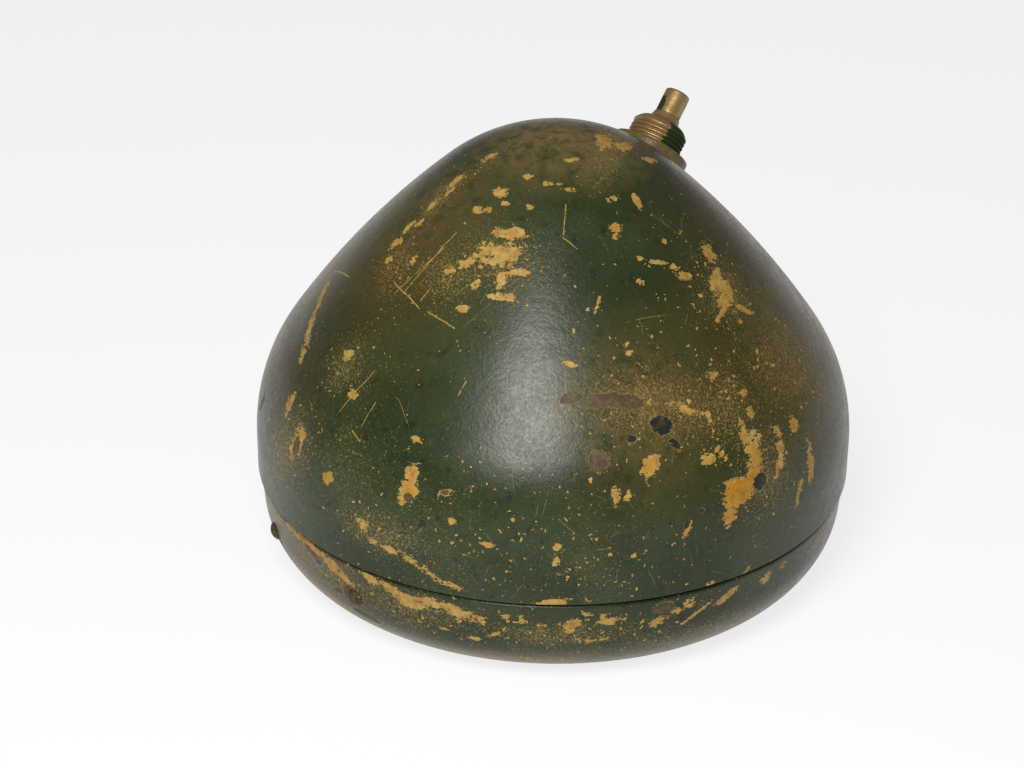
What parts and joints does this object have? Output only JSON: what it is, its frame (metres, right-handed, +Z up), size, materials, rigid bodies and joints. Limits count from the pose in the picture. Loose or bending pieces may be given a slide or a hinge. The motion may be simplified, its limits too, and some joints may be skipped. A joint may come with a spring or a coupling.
{
  "type": "canteen",
  "caption": "Round sheet-metal canteen with a domed shell on a shallow base pan and a screwed brass plug and drinking stem leaning out of its shoulder.",
  "frame": {"origin": "middle of the foot ring's resting plane, on the dome's axis", "axes": "+Z up the dome's axis; the neck leans out of the shoulder towards +Y"},
  "size_m": [0.2, 0.2, 0.1509],
  "materials": {
    "shell_paint": "worn dark green paint over ochre undercoat",
    "pan_paint": "worn dark green paint over ochre undercoat",
    "boss_paint": "worn dark green paint",
    "seam_filler": "dark putty",
    "bare_steel": "dull tinned steel",
    "rivet_steel": "rusted steel with traces of paint",
    "gasket_fibre": "matte",
    "washer_leather": "greased leather",
    "plug_brass": "tarnished brass with traces of green paint",
    "stem_brass": "tarnished brass"
  },
  "bodies": {
    "canteen_body": {"shell": "shell_paint", "base_pan": "pan_paint", "seam_seal": "seam_filler", "inner_hoop": "bare_steel", "hoop_splice": "bare_steel", "hoop_rivets": "rivet_steel", "rivet_burrs": "bare_steel", "neck_boss": "boss_paint", "boss_gasket": "gasket_fibre", "backing_ring": "bare_steel", "boss_nut": "bare_steel"},
    "nose_washer": {"plug_washer": "washer_leather"},
    "filler_plug": {"filler_plug": "plug_brass", "stem_collar": "plug_brass", "drinking_stem": "stem_brass"}
  },
  "joints": [
    {"name": "plug_lift", "type": "slide", "parent": "canteen_body", "child": "nose_washer", "axis": [0, 0.6896, 0.7242], "range_m": [-0.006, 0.012]},
    {"name": "plug_turn", "type": "hinge", "parent": "nose_washer", "child": "filler_plug", "pos_m": [0, 0.0491, 0.12711], "axis": [0, 0.6896, 0.7242], "range_deg": [-1441, 2881]}
  ],
  "couplings": [
    {"joint": "plug_turn", "follows": "plug_lift", "rad_per_m": 4188.8}
  ]
}
